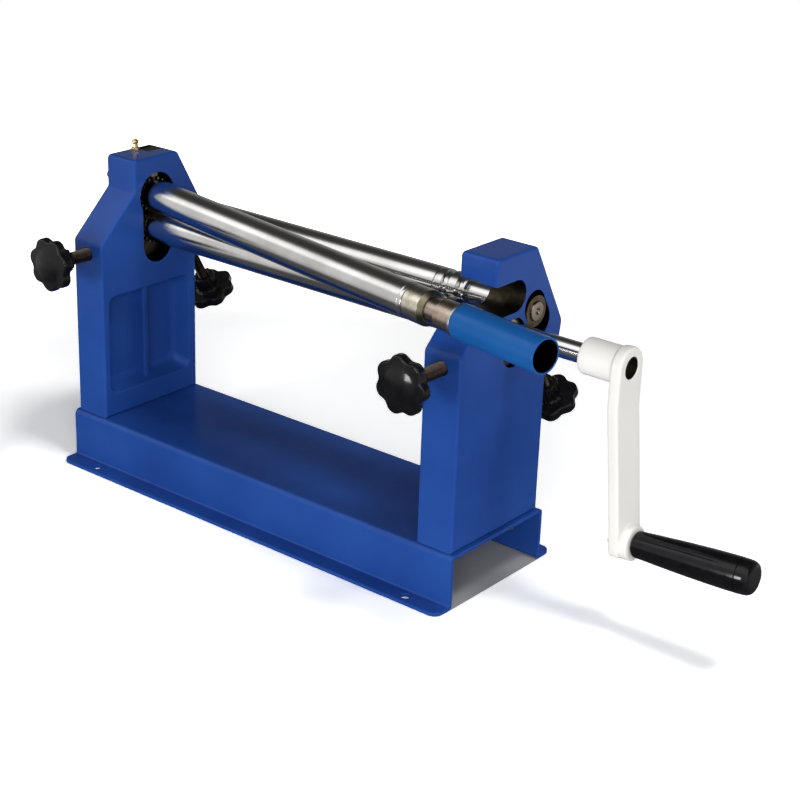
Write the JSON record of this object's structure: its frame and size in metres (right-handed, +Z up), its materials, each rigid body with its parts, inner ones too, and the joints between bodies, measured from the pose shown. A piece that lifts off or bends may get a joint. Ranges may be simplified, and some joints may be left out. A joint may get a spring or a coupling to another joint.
{
  "type": "slip roll machine",
  "caption": "Bench slip roll for curling thin sheet: a cranked pinch pair, a swing-out upper roll, and screw-adjusted lower and rear rolls on two frames.",
  "frame": {"origin": "underside of the front foot, at the middle of its length and width", "axes": "+X along the rolls towards the crank, +Y to the back, +Z up"},
  "size_m": [0.5775, 0.1993, 0.2518],
  "materials": {
    "blue_enamel": "glossy blue enamel",
    "tube_enamel": "glossy lighter blue enamel",
    "white_enamel": "off-white enamel",
    "black_plastic": "moulded, glossy",
    "polished_steel": "ground and polished steel",
    "plain_steel": "bright zinc or bare steel",
    "dark_steel": "blackened steel",
    "cast_iron": "machined cast iron, oiled",
    "bronze": "machined bronze",
    "brass": "bright brass"
  },
  "bodies": {
    "stand": {"base_channel": "blue_enamel", "left_frame": "blue_enamel", "right_frame": "blue_enamel", "frame_bolt_left_front": "plain_steel", "frame_bolt_left_rear": "plain_steel", "frame_bolt_right_front": "plain_steel", "frame_bolt_right_rear": "plain_steel", "frame_washer_left_front": "plain_steel", "frame_washer_left_rear": "plain_steel", "frame_washer_right_front": "plain_steel", "frame_washer_right_rear": "plain_steel", "left_cover_plate": "blue_enamel", "cover_screw_1": "dark_steel", "cover_screw_2": "dark_steel", "cover_screw_3": "dark_steel", "cover_screw_4": "dark_steel", "swing_pin": "plain_steel", "grease_nipple": "brass"},
    "upper_carrier": {"swivel_carrier": "cast_iron", "carrier_bush": "bronze", "seat_bush": "bronze"},
    "upper_roll": {"upper_roll": "polished_steel", "upper_gear": "dark_steel", "upper_gear_key": "plain_steel", "upper_retaining_ring": "plain_steel", "thrust_collar": "cast_iron", "tube_plug": "plain_steel", "handle_tube": "tube_enamel", "handle_washer": "plain_steel", "handle_screw": "dark_steel"},
    "lower_bearings": {"lower_block_left": "cast_iron", "lower_block_right": "cast_iron", "lower_bush_left": "bronze", "lower_bush_right": "bronze"},
    "lower_roll": {"lower_roll": "polished_steel", "lower_gear": "dark_steel", "lower_gear_key": "plain_steel", "lower_retaining_ring": "plain_steel", "crank_arm": "white_enamel", "crank_set_screw": "dark_steel", "grip_axle": "plain_steel", "grip_axle_nut": "plain_steel"},
    "hand_grip": {"hand_grip": "black_plastic", "grip_cap": "black_plastic"},
    "wedge_left": {"wedge_left": "dark_steel"},
    "wedge_right": {"wedge_right": "dark_steel"},
    "front_adjuster_left": {"front_screw_left": "dark_steel", "front_knob_left": "black_plastic"},
    "front_adjuster_right": {"front_screw_right": "dark_steel", "front_knob_right": "black_plastic"},
    "rear_bearings": {"rear_bush_left": "bronze", "rear_bush_right": "bronze"},
    "rear_roll": {"rear_roll": "polished_steel"},
    "rear_adjuster_left": {"rear_screw_left": "dark_steel", "rear_knob_left": "black_plastic"},
    "rear_adjuster_right": {"rear_screw_right": "dark_steel", "rear_knob_right": "black_plastic"}
  },
  "joints": [
    {"name": "upper_roll_swing", "type": "hinge", "parent": "stand", "child": "upper_carrier", "pos_m": [-0.1617, 0.06965, 0.2122], "axis": [0, 0, 1], "range_deg": [0, 10.3]},
    {"name": "upper_roll_turn", "type": "hinge", "parent": "upper_carrier", "child": "upper_roll", "pos_m": [-0.1617, 0.06965, 0.2122], "axis": [0.9839, -0.1788, 0], "continuous": true},
    {"name": "lower_roll_lift", "type": "slide", "parent": "stand", "child": "lower_bearings", "axis": [0, 0, 1], "range_m": [-0.0012, 0]},
    {"name": "crank_turn", "type": "hinge", "parent": "lower_bearings", "child": "lower_roll", "pos_m": [0, 0.06965, 0.1867], "axis": [1, 0, 0], "continuous": true},
    {"name": "hand_grip_turn", "type": "hinge", "parent": "lower_roll", "child": "hand_grip", "pos_m": [0.29019, 0.06965, 0.065], "axis": [0.9982, 0, 0.0593], "continuous": true},
    {"name": "wedge_left_slide", "type": "slide", "parent": "stand", "child": "wedge_left", "axis": [0, 1, 0], "range_m": [-0.00304, 0.00004]},
    {"name": "wedge_right_slide", "type": "slide", "parent": "stand", "child": "wedge_right", "axis": [0, 1, 0], "range_m": [-0.00304, 0.00004]},
    {"name": "front_knob_left_turn", "type": "hinge", "parent": "wedge_left", "child": "front_adjuster_left", "pos_m": [-0.172, 0.06115, 0.1738], "axis": [0, 1, 0], "range_deg": [-732, 12]},
    {"name": "front_knob_right_turn", "type": "hinge", "parent": "wedge_right", "child": "front_adjuster_right", "pos_m": [0.172, 0.06115, 0.1738], "axis": [0, 1, 0], "range_deg": [-732, 12]},
    {"name": "rear_roll_slide", "type": "slide", "parent": "stand", "child": "rear_bearings", "axis": [0, -0.5, 0.866], "range_m": [-0.009, 0.00469]},
    {"name": "rear_roll_turn", "type": "hinge", "parent": "rear_bearings", "child": "rear_roll", "pos_m": [0, 0.09475, 0.1959], "axis": [1, 0, 0], "continuous": true},
    {"name": "rear_knob_left_turn", "type": "hinge", "parent": "rear_bearings", "child": "rear_adjuster_left", "pos_m": [-0.172, 0.09475, 0.1959], "axis": [0, -0.5, 0.866], "range_deg": [-2604, 1362]},
    {"name": "rear_knob_right_turn", "type": "hinge", "parent": "rear_bearings", "child": "rear_adjuster_right", "pos_m": [0.172, 0.09475, 0.1959], "axis": [0, -0.5, 0.866], "range_deg": [-2604, 1362]}
  ],
  "couplings": [
    {"joint": "upper_roll_turn", "follows": "crank_turn", "ratio": -1},
    {"joint": "wedge_left_slide", "follows": "lower_roll_lift", "ratio": 2.5},
    {"joint": "wedge_right_slide", "follows": "lower_roll_lift", "ratio": 2.5},
    {"joint": "front_knob_left_turn", "follows": "lower_roll_lift", "rad_per_m": 10472},
    {"joint": "front_knob_right_turn", "follows": "lower_roll_lift", "rad_per_m": 10472},
    {"joint": "rear_knob_left_turn", "follows": "rear_roll_slide", "rad_per_m": 5026.5},
    {"joint": "rear_knob_right_turn", "follows": "rear_roll_slide", "rad_per_m": 5026.5}
  ]
}
